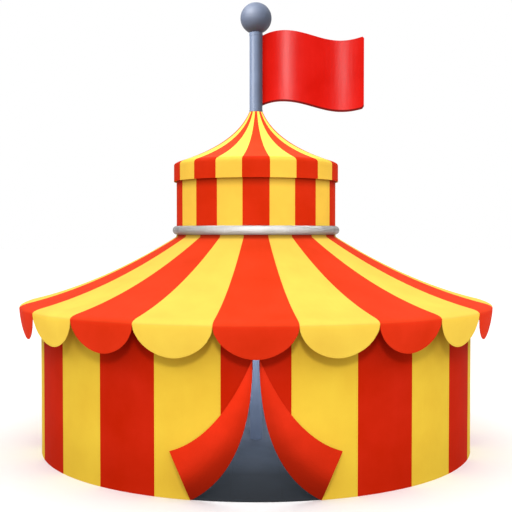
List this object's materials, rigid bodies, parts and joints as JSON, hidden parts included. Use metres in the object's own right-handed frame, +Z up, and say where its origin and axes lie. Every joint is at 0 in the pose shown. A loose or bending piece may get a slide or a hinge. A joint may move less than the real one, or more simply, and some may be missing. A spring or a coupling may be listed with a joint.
{
  "type": "circus big top tent",
  "caption": "Round striped big top tent with a scalloped concave canopy, a raised crown, a swept-back doorway and a flag on its centre pole.",
  "frame": {"origin": "on the ground under the centre pole, at the middle of the floor's underside", "axes": "+Z up, -Y out through the doorway, +X to the right of a person who faces the doorway from outside, which is the side that the flag flies to"},
  "size_m": [13.42, 13.42, 12.774],
  "materials": {
    "canopy_red": "satin coated polyester",
    "canopy_yellow": "satin coated polyester",
    "crown_cloth": "satin coated polyester in red and yellow stripes",
    "wall_cloth": "satin coated polyester in red and yellow stripes, slate blue inside",
    "flap_cloth": "satin coated polyester",
    "flag_cloth": "light woven polyester",
    "slate_paint": "semi-gloss enamel",
    "white_paint": "gloss enamel",
    "galvanised_steel": "dull galvanised",
    "floor_mat": "matt rolled sheet"
  },
  "bodies": {
    "root": {"ball_finial": "slate_paint", "centre_pole": "slate_paint", "flag": "flag_cloth", "crown_roof": "crown_cloth", "crown_wall": "crown_cloth", "crown_ring": "white_paint", "crown_frame": "galvanised_steel", "canopy_gore_01": "canopy_red", "canopy_gore_02": "canopy_yellow", "canopy_gore_03": "canopy_red", "canopy_gore_04": "canopy_yellow", "canopy_gore_05": "canopy_red", "canopy_gore_06": "canopy_yellow", "canopy_gore_07": "canopy_red", "canopy_gore_08": "canopy_yellow", "canopy_gore_09": "canopy_red", "canopy_gore_10": "canopy_yellow", "canopy_gore_11": "canopy_red", "canopy_gore_12": "canopy_yellow", "canopy_gore_13": "canopy_red", "canopy_gore_14": "canopy_yellow", "canopy_gore_15": "canopy_red", "canopy_gore_16": "canopy_yellow", "canopy_gore_17": "canopy_red", "canopy_gore_18": "canopy_yellow", "canopy_gore_19": "canopy_red", "canopy_gore_20": "canopy_yellow", "canopy_gore_21": "canopy_red", "canopy_gore_22": "canopy_yellow", "front_wall_left": "wall_cloth", "front_wall_right": "wall_cloth", "side_wall_left": "wall_cloth", "side_wall_right": "wall_cloth", "rear_wall": "wall_cloth", "door_flap_left": "flap_cloth", "door_flap_right": "flap_cloth", "floor": "floor_mat", "wall_rail": "galvanised_steel", "side_pole_1": "galvanised_steel", "side_pole_2": "galvanised_steel", "side_pole_3": "galvanised_steel", "side_pole_4": "galvanised_steel", "side_pole_5": "galvanised_steel", "side_pole_6": "galvanised_steel", "side_pole_7": "galvanised_steel"}
  },
  "joints": []
}
